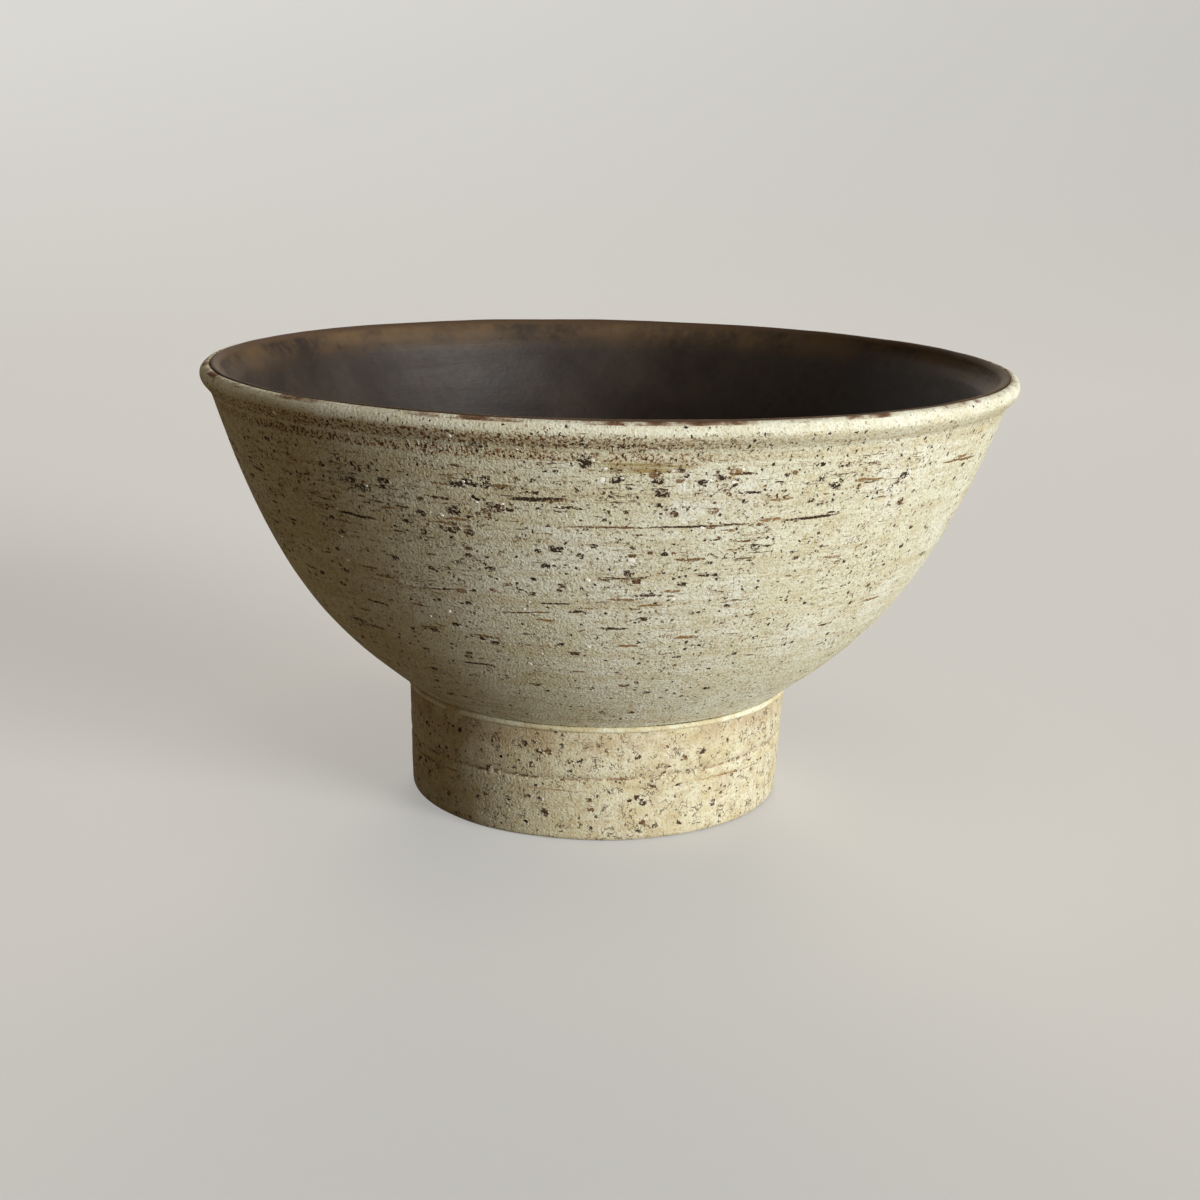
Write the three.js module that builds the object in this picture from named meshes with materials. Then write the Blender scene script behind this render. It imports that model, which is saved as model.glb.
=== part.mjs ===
// A footed stoneware bowl turned on a wheel: a flared clay bowl luted to a hollow foot ring, with a bead of
// slip squeezed out of the joint, cream slip over the outside and a dark glaze lining the inside.
// Millimetres, +Z up. The origin is the middle of the foot's underside, and +Z is the axis of turning.
import * as THREE from 'three';

// Driving dimensions of the outside, in millimetres, over the slip
const RIM_DIAMETER = 210;
const BOWL_HEIGHT = 115;
const FOOT_HEIGHT = 31;
const SEAM_DIAMETER = 101.2;
const BASE_DIAMETER = 98.6;

// The wall's sweep, from the joint at the foot up to the neck under the lip: how steeply it rises at each
// end, in degrees from the level, and the length over which it keeps that direction
const WALL_START_RISE = 37.6;
const WALL_END_RISE = 71.8;
const BELLY_REACH = 24.4;
const SHOULDER_REACH = 53.6;

// The lip: its thickness, how far it overhangs the neck, and how far below its top the neck lies
const LIP_THICKNESS = 4;
const LIP_OVERHANG = 2.9;
const LIP_DEPTH = 7.2;

// Angles round the lip's section, in degrees up from the level: where its round starts and the coats end
const LIP_START_ANGLE = -35;
const SLIP_EDGE_ANGLE = 62;
const GLAZE_EDGE_ANGLE = 80;

// Clay thicknesses, and the height over which the inside's floor rounds up into the wall
const WALL_THICKNESS = 4.2;
const FLOOR_THICKNESS = 7;
const FLOOR_ROUND_HEIGHT = 16;

// The foot: its wall, the rounding of its lower edges, and the line cut round it
const FOOT_WALL = 8;
const FOOT_EDGE_RADIUS = 1.6;
const FOOT_LINE_HEIGHT = 16.8;
const FOOT_LINE_WIDTH = 1.8;
const FOOT_LINE_DEPTH = 0.6;

// Coats, the bead at the joint, and the thin gap left between pieces that are fired together
const SLIP_COAT = 0.6;
const GLAZE_COAT = 0.5;
const BEAD_RADIUS = 1;
const BOND_GAP = 0.1;

// How finely the turned surfaces are cut
const TURN_STEPS = 48;
const WALL_STEPS = 8;
const LIP_STEPS = 2;
const FLOOR_STEPS = 5;
const EDGE_STEPS = 2;
const BEAD_STEPS = 4;
const HALVINGS = 40;

const UPRIGHT = 90; // degrees, straight up in the section's plane
const radians = THREE.MathUtils.degToRad;
const lerp = THREE.MathUtils.lerp;

const clay = new THREE.MeshStandardMaterial({ color: 0x8a5f3f, roughness: 0.9, metalness: 0 });
const slip = new THREE.MeshStandardMaterial({ color: 0xcfc197, roughness: 0.85, metalness: 0 });
const glaze = new THREE.MeshStandardMaterial({ color: 0x3b2c24, roughness: 0.45, metalness: 0 });

// Evenly spaced values from first to last, both ends included
function spread(first, last, steps) {
  return Array.from({ length: steps + 1 }, (_, i) => lerp(first, last, i / steps));
}

// A direction in the section's plane: x points away from the axis and y points up
function heading(degrees) {
  return new THREE.Vector2(Math.cos(radians(degrees)), Math.sin(radians(degrees)));
}

// A place on a surface, with the normal that points out of the clay there
function place(point, normal) {
  return { point, normal };
}

// The line that runs beside a surface at a distance along its normals
function beside(surface, distance) {
  return surface.map(({ point, normal }) => point.clone().addScaledVector(normal, distance));
}

// A solid turned from an outline that runs up its outside and down its inside. A ring's outline closes on
// itself, and any other starts and ends on the axis.
function turned(name, outline, material, isRing) {
  const closed = isRing ? [...outline, outline[0].clone()] : outline;
  const geometry = new THREE.LatheGeometry(closed, TURN_STEPS).rotateX(Math.PI / 2);
  const mesh = new THREE.Mesh(geometry, material);
  mesh.name = name;
  return mesh;
}

// The outside of the clay: the wall from the joint to the neck, then the lip's bead
const coatDepth = SLIP_COAT + BOND_GAP;
const seamRadius = SEAM_DIAMETER / 2 - coatDepth;
const baseRadius = BASE_DIAMETER / 2 - coatDepth;
const lipRadius = RIM_DIAMETER / 2 - coatDepth;
const lipRound = LIP_THICKNESS / 2;
const lipTop = BOWL_HEIGHT - GLAZE_COAT - BOND_GAP;
const lipCentre = new THREE.Vector2(lipRadius - lipRound, lipTop - lipRound);
const seam = new THREE.Vector2(seamRadius, FOOT_HEIGHT);
const neck = new THREE.Vector2(lipRadius - LIP_OVERHANG, BOWL_HEIGHT - LIP_DEPTH);
const wall = new THREE.CubicBezierCurve(
  seam,
  seam.clone().addScaledVector(heading(WALL_START_RISE), BELLY_REACH),
  neck.clone().addScaledVector(heading(WALL_END_RISE), -SHOULDER_REACH),
  neck,
);

function wallPlace(t) {
  const along = wall.getTangent(t);
  return place(wall.getPoint(t), new THREE.Vector2(along.y, -along.x));
}

function lipPlace(angle) {
  const normal = heading(angle);
  return place(lipCentre.clone().addScaledVector(normal, lipRound), normal);
}

// The slip starts clear of the bead at the joint. The curve's parameter there follows from the speed at which
// a cubic Bezier curve sets off: three times the length of its first handle.
const slipStart = (BEAD_RADIUS + coatDepth) / (3 * BELLY_REACH);
const outerWall = spread(slipStart, 1, WALL_STEPS).map(wallPlace);
const lipBelow = spread(LIP_START_ANGLE, 0, LIP_STEPS).map(lipPlace);
const lipAbove = spread(0, SLIP_EDGE_ANGLE, LIP_STEPS).slice(1).map(lipPlace);
const outside = [...outerWall, ...lipBelow, ...lipAbove];

// The inside of the clay: over the lip, down the wall, and along a rounded floor to the axis
const floorTop = FOOT_HEIGHT + FLOOR_THICKNESS;
const floorMiddle = new THREE.Vector2(0, floorTop);

function innerWallPlace(t) {
  const { point, normal } = wallPlace(t);
  return place(point.addScaledVector(normal, -WALL_THICKNESS), normal.negate());
}

// The wall's parameter at which its inside is at a height, found by halving
function innerWallAt(height) {
  let low = 0;
  let high = 1;
  for (let step = 0; step < HALVINGS; step += 1) {
    const middle = (low + high) / 2;
    if (innerWallPlace(middle).point.y < height) low = middle;
    else high = middle;
  }
  return high;
}

const roundStart = innerWallAt(floorTop + FLOOR_ROUND_HEIGHT);
const roundFrom = innerWallPlace(roundStart);
const roundAlong = wall.getTangent(roundStart);
const roundRun = (roundFrom.point.y - floorTop) * (roundAlong.x / roundAlong.y);
const floorRound = new THREE.QuadraticBezierCurve(
  roundFrom.point,
  new THREE.Vector2(roundFrom.point.x - roundRun, floorTop),
  floorMiddle,
);

function floorPlace(t) {
  const along = floorRound.getTangent(t);
  return place(floorRound.getPoint(t), new THREE.Vector2(along.y, -along.x));
}

const innerLip = [GLAZE_EDGE_ANGLE, ...spread(UPRIGHT, UPRIGHT + WALL_END_RISE, LIP_STEPS)];
const innerWall = spread(1, roundStart, WALL_STEPS - 1).map(innerWallPlace);
const innerFloor = spread(0, 1, FLOOR_STEPS).slice(1, -1).map(floorPlace);
const axisFloor = place(floorMiddle, new THREE.Vector2(0, 1));
const inside = [...innerLip.map(lipPlace), ...innerWall, ...innerFloor, axisFloor];

const clayBowl = turned(
  'clay_bowl',
  [new THREE.Vector2(0, FOOT_HEIGHT), seam, ...beside(outside, 0), ...beside(inside, 0)],
  clay,
  false,
);

const outerSlip = turned(
  'outer_slip',
  [...beside(outside, coatDepth), ...beside(outside, BOND_GAP).reverse()],
  slip,
  true,
);

const innerGlaze = turned(
  'inner_glaze',
  [...beside(inside, BOND_GAP).reverse(), ...beside(inside, BOND_GAP + GLAZE_COAT)],
  glaze,
  false,
);

// The foot's outside leans from the base to the joint, and the cut line is a notch in it
const footLean = (seamRadius - baseRadius) / FOOT_HEIGHT;
const footNormal = new THREE.Vector2(1, -footLean).normalize();

function footPlace(height, depth) {
  const point = new THREE.Vector2(baseRadius + footLean * height - depth, height);
  return place(point, footNormal);
}

const beadDrop = BOND_GAP + BEAD_RADIUS / Math.cos(radians(WALL_START_RISE));
const beadMiddle = FOOT_HEIGHT - beadDrop;
const beadBottom = beadMiddle - BEAD_RADIUS;
const footSide = [
  footPlace(FOOT_EDGE_RADIUS, 0),
  footPlace(FOOT_LINE_HEIGHT - FOOT_LINE_WIDTH / 2, 0),
  footPlace(FOOT_LINE_HEIGHT, FOOT_LINE_DEPTH),
  footPlace(FOOT_LINE_HEIGHT + FOOT_LINE_WIDTH / 2, 0),
  footPlace(beadBottom - BOND_GAP, 0),
];

// A rounded lower edge of the foot, from one angle to another about the middle of its rounding
function footEdge(radius, fromAngle, toAngle) {
  const middle = new THREE.Vector2(radius, FOOT_EDGE_RADIUS);
  return spread(fromAngle, toAngle, EDGE_STEPS).map((angle) =>
    middle.clone().addScaledVector(heading(angle), FOOT_EDGE_RADIUS),
  );
}

const edgeRadius = footSide[0].point.x;
const wellRadius = edgeRadius - FOOT_WALL;
const footTop = FOOT_HEIGHT - BOND_GAP;
const footTopRadius = footPlace(footTop, 0).point.x;
const footRing = turned(
  'foot_ring',
  [
    ...footEdge(wellRadius + FOOT_EDGE_RADIUS, -2 * UPRIGHT, -UPRIGHT),
    ...footEdge(edgeRadius - FOOT_EDGE_RADIUS, -UPRIGHT, 0).slice(0, -1),
    ...beside(footSide, 0),
    new THREE.Vector2(footTopRadius, footTop),
    new THREE.Vector2(footTopRadius - FOOT_WALL, footTop),
  ],
  clay,
  true,
);

const footSlip = turned(
  'foot_slip',
  [...beside(footSide, coatDepth), ...beside(footSide, BOND_GAP).reverse()],
  slip,
  true,
);

// The bead is a half-round roll of slip against the foot where that is widest, just clear of the wall above
const beadBacking = Math.max(seamRadius, footPlace(beadBottom, 0).point.x);
const beadInner = new THREE.Vector2(beadBacking + BOND_GAP, beadMiddle);
const seamBead = turned(
  'seam_bead',
  spread(-UPRIGHT, UPRIGHT, BEAD_STEPS).map((angle) =>
    beadInner.clone().addScaledVector(heading(angle), BEAD_RADIUS),
  ),
  slip,
  true,
);

const bowl = new THREE.Group();
bowl.add(clayBowl, footRing, seamBead, outerSlip, footSlip, innerGlaze);

export default bowl;
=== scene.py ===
# %% [markdown]
# # A footed stoneware bowl
# This lesson dresses the solids of a wheel-thrown bowl. The solids give the sizes, and every piece made here
# takes its place from them. The real bowl was thrown, trimmed, set on a thrown foot, brushed with pale slip
# outside and lined with dark glaze. The body, the foot and each coat are pieces of their own here.

import math
import random
from collections import namedtuple

import bpy
from mathutils import Matrix, Vector
from mathutils.geometry import interpolate_bezier


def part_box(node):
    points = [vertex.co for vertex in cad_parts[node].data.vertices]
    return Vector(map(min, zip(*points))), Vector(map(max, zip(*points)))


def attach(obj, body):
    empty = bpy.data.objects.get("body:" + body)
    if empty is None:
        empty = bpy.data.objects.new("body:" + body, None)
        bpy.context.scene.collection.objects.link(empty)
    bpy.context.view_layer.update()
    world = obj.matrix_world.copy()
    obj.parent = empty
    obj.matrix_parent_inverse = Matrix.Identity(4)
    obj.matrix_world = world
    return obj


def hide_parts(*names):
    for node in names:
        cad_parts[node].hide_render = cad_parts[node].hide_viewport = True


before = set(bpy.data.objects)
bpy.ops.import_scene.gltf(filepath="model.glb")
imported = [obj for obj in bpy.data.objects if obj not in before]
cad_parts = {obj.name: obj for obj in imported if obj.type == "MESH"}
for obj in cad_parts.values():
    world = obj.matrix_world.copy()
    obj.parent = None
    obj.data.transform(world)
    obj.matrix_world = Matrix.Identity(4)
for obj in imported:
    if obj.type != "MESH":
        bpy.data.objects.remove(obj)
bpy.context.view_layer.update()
MM = 0.001
print("solids:", ", ".join(sorted(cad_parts)))

# %% [markdown]
# ## The camera
# The bowl is seen from a little above its rim, close enough for the near side of the rim to look wider than
# the far side. Three turns place the view: one about the upright, one down towards the bowl, and a small
# roll.

# %% Place the camera
VIEW_PLACE = Vector((-2.3, -504.8, 176.9)) * MM
VIEW_YAW = 0.10
VIEW_DOWN = 14.09
VIEW_ROLL = 1.08
LENS = 58.1
SENSOR = 36.0
NEAREST = 0.01


def add(name, data):
    """A new object in the scene."""
    thing = bpy.data.objects.new(name, data)
    bpy.context.scene.collection.objects.link(thing)
    return thing


camera = add("camera", bpy.data.cameras.new("camera"))
camera.data.lens = LENS
camera.data.sensor_width = SENSOR
camera.data.clip_start = NEAREST
camera.matrix_world = (
    Matrix.Translation(VIEW_PLACE)
    @ Matrix.Rotation(math.radians(-VIEW_YAW), 4, "Z")
    @ Matrix.Rotation(math.radians(90 - VIEW_DOWN), 4, "X")
    @ Matrix.Rotation(math.radians(VIEW_ROLL), 4, "Z")
)
bpy.context.scene.camera = camera
bpy.context.scene.view_settings.view_transform = "Standard"
print("camera at", [round(c, 3) for c in VIEW_PLACE], "with a", LENS, "mm lens")

# %% [markdown]
# ## Writing node trees
# Materials and shapes in this lesson are node trees. A tree is easier to read in a script when every node
# takes one line, so this small helper adds a node, feeds its inputs in the order in which Blender shows
# them, and gives back one output for the next line to use.


# %% A pen for node trees
class NodePen:
    """Writes a node tree one node at a time."""

    def __init__(self, tree):
        self.tree = tree

    def put(self, kind, *inputs, out=0, **settings):
        node = self.tree.nodes.new(kind)
        for name, value in settings.items():
            setattr(node, name, value)
        sockets = [socket for socket in node.inputs if socket.enabled]
        for socket, value in zip(sockets, inputs):
            self.feed(socket, value)
        return [socket for socket in node.outputs if socket.enabled][out]

    def geo(self, kind, *inputs, **settings):
        return self.put("GeometryNode" + kind, *inputs, **settings)

    def feed(self, socket, value):
        if isinstance(value, bpy.types.NodeSocket):
            self.tree.links.new(value, socket)
        elif value is not None:
            socket.default_value = value

    def maths(self, operation, *values):
        return self.put("ShaderNodeMath", *values, operation=operation)

    def times(self, first, *others):
        for other in others:
            first = self.maths("MULTIPLY", first, other)
        return first

    def plus(self, first, second):
        return self.maths("ADD", first, second)

    def minus(self, first, second):
        return self.maths("SUBTRACT", first, second)

    def over(self, first, second):
        return self.maths("DIVIDE", first, second)

    def vector(self, operation, *values):
        return self.put("ShaderNodeVectorMath", *values, operation=operation)

    def split(self, vector):
        first = self.put("ShaderNodeSeparateXYZ", vector)
        return first.node.outputs[0], first.node.outputs[1], first.node.outputs[2]

    def join(self, x, y, z):
        return self.put("ShaderNodeCombineXYZ", x, y, z)

    def ramp(self, value, low, high):
        """Rises smoothly from 0 at low to 1 at high."""
        return self.put("ShaderNodeMapRange", value, low, high, 0.0, 1.0, interpolation_type="SMOOTHSTEP")

    def noise(self, at, scale, detail=2.0, roughness=0.5):
        return self.put("ShaderNodeTexNoise", at, scale, detail, roughness)

    def painted(self, name):
        """A number that the mesh carries, for a shader to read."""
        return self.put("ShaderNodeAttribute", attribute_name=name).node.outputs["Fac"]

    def attribute(self, name):
        """A number that the mesh carries, for a geometry tree to read."""
        return self.geo("InputNamedAttribute", name, data_type="FLOAT")

    def store(self, geometry, name, value, kind="FLOAT", domain="POINT"):
        return self.geo("StoreNamedAttribute", geometry, None, name, value, data_type=kind, domain=domain)


print("pen ready")

# %% [markdown]
# ## Running a tree on a mesh
# A geometry tree lives on an object as a modifier. Its inputs are set by their identifiers before the object
# is first evaluated. The result is then kept as a plain mesh and the modifier is taken off, so that what is
# exported is the same as what is seen.

# %% Grow a piece from a tree
SOCKETS = {
    "geometry": "NodeSocketGeometry",
    "count": "NodeSocketInt",
    "size": "NodeSocketFloat",
    "object": "NodeSocketObject",
    "material": "NodeSocketMaterial",
}


def new_tree(name, **inputs):
    """A geometry tree with named inputs, as a pen and the inputs' sockets."""
    tree = bpy.data.node_groups.new(name, "GeometryNodeTree")
    tree.is_modifier = True
    for label, kind in inputs.items():
        tree.interface.new_socket(label, in_out="INPUT", socket_type=SOCKETS[kind])
    tree.interface.new_socket("geometry", in_out="OUTPUT", socket_type=SOCKETS["geometry"])
    given = tree.nodes.new("NodeGroupInput")
    return NodePen(tree), {label: given.outputs[label] for label in inputs}


def end_tree(pen, geometry, finish):
    """Ends a tree with real geometry that carries its material."""
    real = pen.geo("RealizeInstances", geometry)
    painted = pen.geo("SetMaterial", real, None, finish)
    result = pen.tree.nodes.new("NodeGroupOutput")
    pen.tree.links.new(painted, result.inputs["geometry"])
    return pen.tree


def grow(name, start, tree, **values):
    """Runs a tree on a start mesh and keeps what it makes as a plain mesh."""
    piece = add(name, start)
    modifier = piece.modifiers.new(tree.name, "NODES")
    modifier.node_group = tree
    for item in tree.interface.items_tree:
        if item.in_out == "INPUT" and item.name in values:
            modifier[item.identifier] = values[item.name]
    depsgraph = bpy.context.evaluated_depsgraph_get()
    mesh = bpy.data.meshes.new_from_object(
        piece.evaluated_get(depsgraph), preserve_all_data_layers=True, depsgraph=depsgraph
    )
    piece.modifiers.clear()
    piece.data = mesh
    bpy.data.meshes.remove(start)
    mesh.name = name
    print(name, "has", len(mesh.polygons), "faces")
    return piece


print("tree inputs can be:", ", ".join(SOCKETS))

# %% [markdown]
# ## The studio
# A pale dish stands in for a paper sweep: flat under the bowl and curving up all round, so that no horizon
# shows from any side. Three far lamps shine from the right, from behind and from above. The dish throws no
# shadow, so that they reach the bowl over its raised edge. The camera and reflections see the dish paler
# than it lights the bowl, with a faint glow, and the bowl's shadow still shows on it.


# %% The dish
def srgb(red, green, blue):
    """A colour as it looks on screen, from 0 to 255, in the linear values that Blender mixes."""
    shown = [channel / 255 for channel in (red, green, blue)]
    linear = [c / 12.92 if c < 0.04045 else ((c + 0.055) / 1.055) ** 2.4 for c in shown]
    return (*linear, 1)


FLOOR_FLAT = 0.9
FLOOR_EDGE = 3.2
FLOOR_RISE = 1.6
FLOOR_RINGS = 24
FLOOR_STEPS = 96
FLOOR_BOUNCE = srgb(114, 97, 70)
FLOOR_SEEN = srgb(164, 162, 158)
FLOOR_SHEEN = srgb(214, 213, 210)
FLOOR_GLOW = 0.52


def sweep_floor():
    """A round floor that is flat in the middle and curves up to its edge."""
    points = [(0.0, 0.0, 0.0)]
    faces = []
    for ring in range(FLOOR_RINGS + 1):
        climb = math.pi / 2 * ring / FLOOR_RINGS
        radius = FLOOR_FLAT + (FLOOR_EDGE - FLOOR_FLAT) * math.sin(climb)
        height = FLOOR_RISE * (1 - math.cos(climb))
        for step in range(FLOOR_STEPS):
            angle = 2 * math.pi * step / FLOOR_STEPS
            points.append((radius * math.cos(angle), radius * math.sin(angle), height))
    for step in range(FLOOR_STEPS):
        after = (step + 1) % FLOOR_STEPS
        faces.append((0, 1 + step, 1 + after))
        for ring in range(FLOOR_RINGS):
            inner = 1 + ring * FLOOR_STEPS
            outer = inner + FLOOR_STEPS
            faces.append((inner + step, outer + step, outer + after, inner + after))
    mesh = bpy.data.meshes.new("floor")
    mesh.from_pydata(points, [], faces)
    mesh.polygons.foreach_set("use_smooth", [True] * len(faces))
    return add("floor", mesh)


floor = sweep_floor()
paper = bpy.data.materials.new("paper_sweep")
paper.use_nodes = True
pen = NodePen(paper.node_tree)
ray = pen.put("ShaderNodeLightPath").node.outputs
seen = pen.maths("MAXIMUM", ray["Is Camera Ray"], ray["Is Glossy Ray"])
seen = pen.maths("MAXIMUM", seen, ray["Is Transmission Ray"])
paper_shader = paper.node_tree.nodes["Principled BSDF"].inputs
paper_shader["Roughness"].default_value = 0.9
floor_colour = pen.put("ShaderNodeMix", seen, FLOOR_BOUNCE, FLOOR_SEEN, data_type="RGBA")
pen.feed(paper_shader["Base Color"], floor_colour)
paper_shader["Emission Color"].default_value = FLOOR_SHEEN
pen.feed(paper_shader["Emission Strength"], pen.times(seen, FLOOR_GLOW))
floor.data.materials.append(paper)
floor.visible_shadow = False
print("the dish is", 2 * FLOOR_EDGE, "m across")

# %% The lamps
WHITE = (0.97, 0.99, 1.0)
CANDLE = (1.0, 0.9, 0.74)
WARM = (1.0, 0.84, 0.6)
WORLD_GLOW = 0.02


def soft_lamp(name, side, spread, strength, colour):
    """A far lamp that shines from one side. The spread, in degrees, softens its shadows."""
    lamp = add(name, bpy.data.lights.new(name, "SUN"))
    lamp.data.angle = math.radians(spread)
    lamp.data.energy = strength
    lamp.data.color = colour
    lamp.rotation_euler = Vector(side).to_track_quat("Z", "Y").to_euler()


soft_lamp("key", (1.22, -0.93, 0.3), 30, 4.45, WHITE)
soft_lamp("back", (0.1, 1.5, 0.45), 30, 1.4, CANDLE)
soft_lamp("top", (-0.1, -0.1, 1.5), 40, 0.45, CANDLE)
world = bpy.data.worlds.new("studio")
world.use_nodes = True
sky = world.node_tree.nodes["Background"].inputs
sky["Color"].default_value = (*WARM, 1)
sky["Strength"].default_value = WORLD_GLOW
bpy.context.scene.world = world
print("lamps: key, back and top")

# %% [markdown]
# ## The bowl's sizes
# The heights and the rim's radius are read from the solids. The other values follow the solids' own section:
# the sweep of the wall, the thickness of the clay and of its coats. A little room is kept at the rim and
# under the foot for lumps. A last group says how far the hand strayed from a perfect turn: the foot sits to
# one side, its cut line slants, and the rim dips by at most 0.3 mm.

# %% Sizes from the solids, and the hand's errors
LUMP_ROOM = 0.06 * MM
rim_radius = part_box("outer_slip")[1].x - LUMP_ROOM
crest_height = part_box("inner_glaze")[1].z
joint_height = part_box("clay_bowl")[0].z

WALL_START_RISE = 37.6
WALL_END_RISE = 71.8
BELLY_REACH = 24.4 * MM
SHOULDER_REACH = 53.6 * MM
LIP_ROUND = 2.0 * MM
LIP_OVERHANG = 2.9 * MM
LIP_DEPTH = 7.2 * MM
WALL_THICKNESS = 4.2 * MM
FLOOR_THICKNESS = 7 * MM
FLOOR_ROUND_HEIGHT = 16 * MM
SEAM_RADIUS = 49.9 * MM
FOOT_BASE_RADIUS = 48.6 * MM
FOOT_WALL = 8 * MM
FOOT_EDGE = 1.6 * MM
FOOT_LINE_HEIGHT = 16.8 * MM
FOOT_LINE_WIDTH = 1.5 * MM
FOOT_LINE_DEPTH = 0.5 * MM
BOND = 0.1 * MM
SLIP = 0.6 * MM
GLAZE = 0.5 * MM
BEAD = 0.75 * MM

HAND_ERRORS = {
    "lean": 2.3 * MM,
    "rim_tilt": 0.1 * MM,
    "rim_wave": 0.05 * MM,
    "line_slant": 1.2 * MM,
}
WAVE_TURN = 22
SLANT_REACH = 6 * MM
print("rim radius", round(rim_radius / MM, 2), "mm, crest", round(crest_height / MM, 2), "mm")

# %% [markdown]
# ## Drawing the section
# A thrown pot is one outline swept round an axis. The outline is drawn from few parts: a curve for the wall,
# arcs for the lip and the edges, and lines beside them for the coats. Each point gives its distance from the
# axis and then its height.


# %% Curves of the section
def heading(degrees):
    return Vector((math.cos(math.radians(degrees)), math.sin(math.radians(degrees))))


def arc(centre, radius, first, last, steps):
    """Points round a centre, from one angle to another in degrees."""
    return [centre + radius * heading(first + (last - first) * i / steps) for i in range(steps + 1)]


def bend(start, leave, arrive, end, steps):
    """Points on a curve that leaves one point and arrives at another along two handles."""
    return interpolate_bezier(start, start + leave, end + arrive, end, steps + 1)


def beside(points, distance):
    """The line beside an outline, on the side that faces out of the clay."""
    moved = []
    for i, point in enumerate(points):
        before = points[max(i - 1, 0)]
        after = points[min(i + 1, len(points) - 1)]
        onward = (after - before).normalized()
        moved.append(point + distance * Vector((onward.y, -onward.x)))
    return moved


def along(points):
    """How far along an outline each of its points lies."""
    lengths = [0.0]
    for before, after in zip(points, points[1:]):
        lengths.append(lengths[-1] + (after - before).length)
    return lengths


NECK_BEND = 1.4 * MM
LIP_START = -33
SLIP_END = 84
GLAZE_START = 86
LIP_INSIDE = 90 + WALL_END_RISE
WALL_STEPS = 110
HOLLOW_STEPS = 10
LIP_STEPS = 14
INNER_LIP_STEPS = 12
FLOOR_CURVE_STEPS = 40
EDGE_STEPS = 8

lip_middle = Vector((rim_radius - SLIP - BOND - LIP_ROUND, crest_height - GLAZE - BOND - LIP_ROUND))
seam = Vector((SEAM_RADIUS, joint_height))
neck = Vector((rim_radius - SLIP - BOND - LIP_OVERHANG, crest_height - LIP_DEPTH))
lip_foot = lip_middle + LIP_ROUND * heading(LIP_START)

belly = BELLY_REACH * heading(WALL_START_RISE)
shoulder = -SHOULDER_REACH * heading(WALL_END_RISE)
wall = bend(seam, belly, shoulder, neck, WALL_STEPS)
leave_neck = NECK_BEND * heading(WALL_END_RISE)
reach_lip = -NECK_BEND * heading(LIP_START + 90)
hollow = bend(neck, leave_neck, reach_lip, lip_foot, HOLLOW_STEPS)
lip_outside = arc(lip_middle, LIP_ROUND, LIP_START, SLIP_END, LIP_STEPS)
outside = wall + hollow[1:] + lip_outside[1:]

lip_inside = arc(lip_middle, LIP_ROUND, GLAZE_START, LIP_INSIDE, INNER_LIP_STEPS)
floor_height = joint_height + FLOOR_THICKNESS
round_height = floor_height + FLOOR_ROUND_HEIGHT
wall_inside = [p for p in reversed(beside(wall, -WALL_THICKNESS)) if round_height < p.y < lip_inside[-1].y]
wall_end = wall_inside[-1]
last_fall = wall_end - wall_inside[-2]
corner = wall_end + last_fall * ((wall_end.y - floor_height) / -last_fall.y)
axis_floor = Vector((0, floor_height))
handle = 2 / 3  # of the way to the corner, which rounds it evenly
floor_inside = bend(
    wall_end, handle * (corner - wall_end), handle * (corner - axis_floor), axis_floor, FLOOR_CURVE_STEPS
)
inside = lip_inside + wall_inside + floor_inside[1:]
print("outside has", len(outside), "points and inside has", len(inside))

# %% [markdown]
# ## Turning on the wheel
# One geometry tree turns any section into a pot. It lays a grid, one row for each point of the section and
# one column for each step of the turn, and bends it round the axis. Merging closes the back seam and the
# middle of the floor. Noise that changes fast with height and slowly round the pot leaves throwing rings.
# A last step gives every piece the same lean and the same uneven rim, so that the coats stay on the clay.


# %% The wheel as a tree
MERGE = 0.002 * MM
MAP_TOP_EDGE = 0.01
MAP_SIDE_EDGE = 0.005
LUMP_SCALE = 45.0


def wheel_tree():
    pen, given = new_tree(
        "turn_on_the_wheel",
        section="geometry", turn_steps="count", height="size", line_height="size", ring_depth="size",
        ring_spacing="size", lump_depth="size", finish="material", **dict.fromkeys(HAND_ERRORS, "size"),
    )
    section = given["section"]
    rows = pen.geo("AttributeDomainSize", section, component="MESH")
    columns = pen.plus(given["turn_steps"], 1)
    grid = pen.geo("MeshGrid", 1.0, 1.0, columns, rows)
    x, y, _ = pen.split(pen.geo("InputPosition"))
    turn = pen.plus(x, 0.5)
    row = pen.maths("ROUND", pen.times(pen.plus(y, 0.5), pen.minus(rows, 1)))

    def from_section(value, kind):
        return pen.geo("SampleIndex", section, value, row, data_type=kind, domain="POINT")

    point = from_section(pen.geo("InputPosition"), "FLOAT_VECTOR")
    radius, _, level = pen.split(point)
    grid = pen.store(grid, "level", pen.over(level, MM))
    grid = pen.store(grid, "shown", from_section(pen.attribute("shown"), "FLOAT"))
    grid = lay_map(pen, grid, turn, from_section(pen.attribute("map_share"), "FLOAT"))

    angle = pen.times(turn, 2 * math.pi)
    sine = pen.maths("SINE", angle)
    cosine = pen.maths("COSINE", angle)
    bent = pen.join(pen.times(radius, sine), pen.times(radius, cosine, -1), level)
    pot = pen.geo("SetPosition", grid, None, bent)
    pot = pen.geo("MergeByDistance", pot, None, MERGE)
    pot = pen.geo("SetPosition", pot, None, None, throwing_marks(pen, given))
    pot = pen.geo("SetPosition", pot, None, None, hand_errors(pen, given))
    pot = pen.geo("SetShadeSmooth", pot, None, True)
    return end_tree(pen, pot, given["finish"])


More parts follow.
